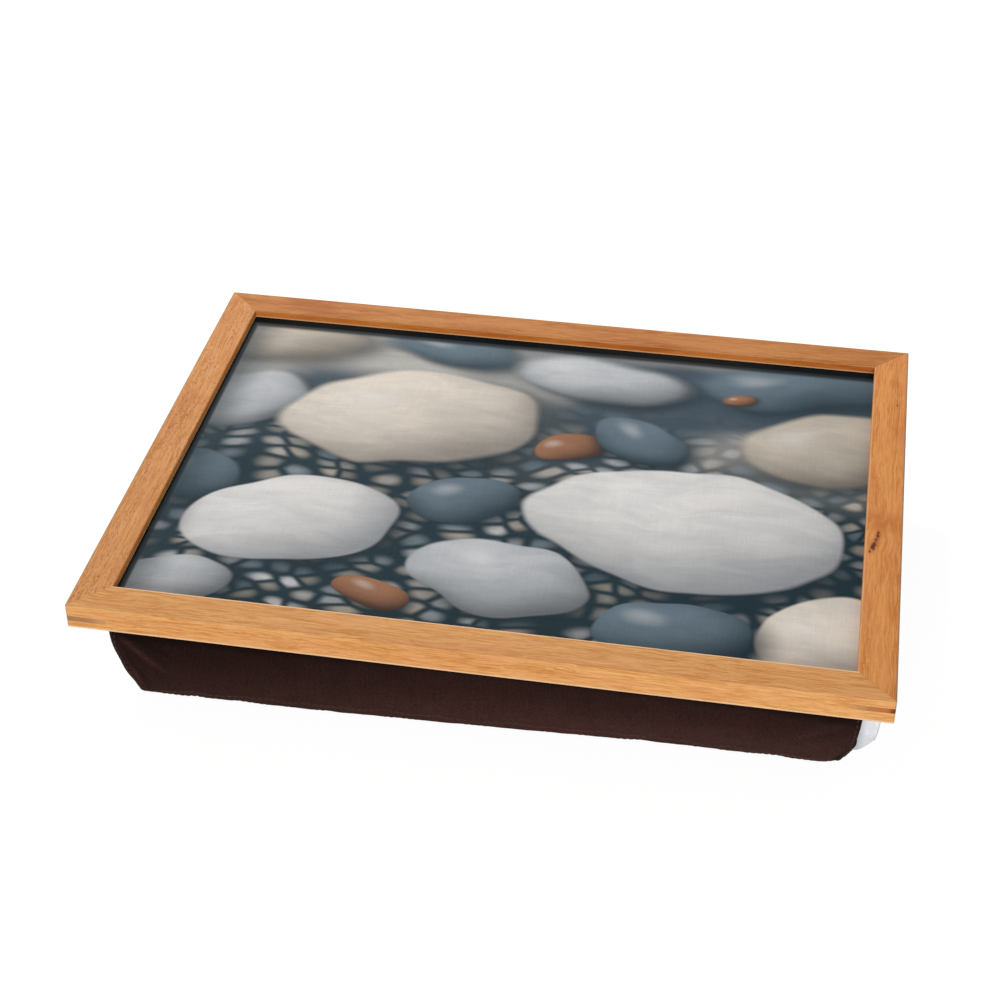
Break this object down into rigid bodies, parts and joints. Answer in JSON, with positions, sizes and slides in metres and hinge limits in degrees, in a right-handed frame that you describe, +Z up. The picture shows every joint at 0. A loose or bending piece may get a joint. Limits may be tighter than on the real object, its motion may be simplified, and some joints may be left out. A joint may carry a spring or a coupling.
{
  "type": "lap tray with cushion",
  "caption": "Lap tray: a mitred wooden frame round a recessed printed board, on a removable bead-filled fabric cushion.",
  "frame": {"origin": "centre of the cushion's underside, on the surface the tray rests on", "axes": "+X to the right along the tray's width, -Y towards the user (the front), +Z up"},
  "size_m": [0.43, 0.325, 0.07],
  "materials": {
    "beech_frame": "satin",
    "mitre_key_wood": "satin",
    "picture_print": "satin",
    "fibreboard": "matte",
    "backing_film": "matte",
    "hook_tape_nylon": "matte",
    "loop_tape_nylon": "matte",
    "cushion_cotton": "matte",
    "liner_cotton": "matte",
    "bead_filling": "matte",
    "label_ribbon": "satin"
  },
  "bodies": {
    "cushion": {"cushion_top_panel": "cushion_cotton", "cushion_bottom_panel": "cushion_cotton", "cushion_side_front": "cushion_cotton", "cushion_side_back": "cushion_cotton", "cushion_side_left": "cushion_cotton", "cushion_side_right": "cushion_cotton", "liner_upper": "liner_cotton", "liner_lower": "liner_cotton", "bead_fill": "bead_filling", "loop_tape_front_left": "loop_tape_nylon", "loop_tape_front_right": "loop_tape_nylon", "loop_tape_back_left": "loop_tape_nylon", "loop_tape_back_right": "loop_tape_nylon", "woven_label": "label_ribbon"},
    "tray": {"frame_rail_front": "beech_frame", "frame_rail_back": "beech_frame", "frame_rail_left": "beech_frame", "frame_rail_right": "beech_frame", "mitre_key_front_left": "mitre_key_wood", "mitre_key_front_right": "mitre_key_wood", "mitre_key_back_left": "mitre_key_wood", "mitre_key_back_right": "mitre_key_wood", "picture_laminate": "picture_print", "tray_board": "fibreboard", "backing_laminate": "backing_film", "hook_tape_front_left": "hook_tape_nylon", "hook_tape_front_right": "hook_tape_nylon", "hook_tape_back_left": "hook_tape_nylon", "hook_tape_back_right": "hook_tape_nylon"}
  },
  "joints": [
    {"name": "tray_lift", "type": "slide", "parent": "cushion", "child": "tray", "axis": [0, 0, 1], "range_m": [0, 0.08]}
  ]
}
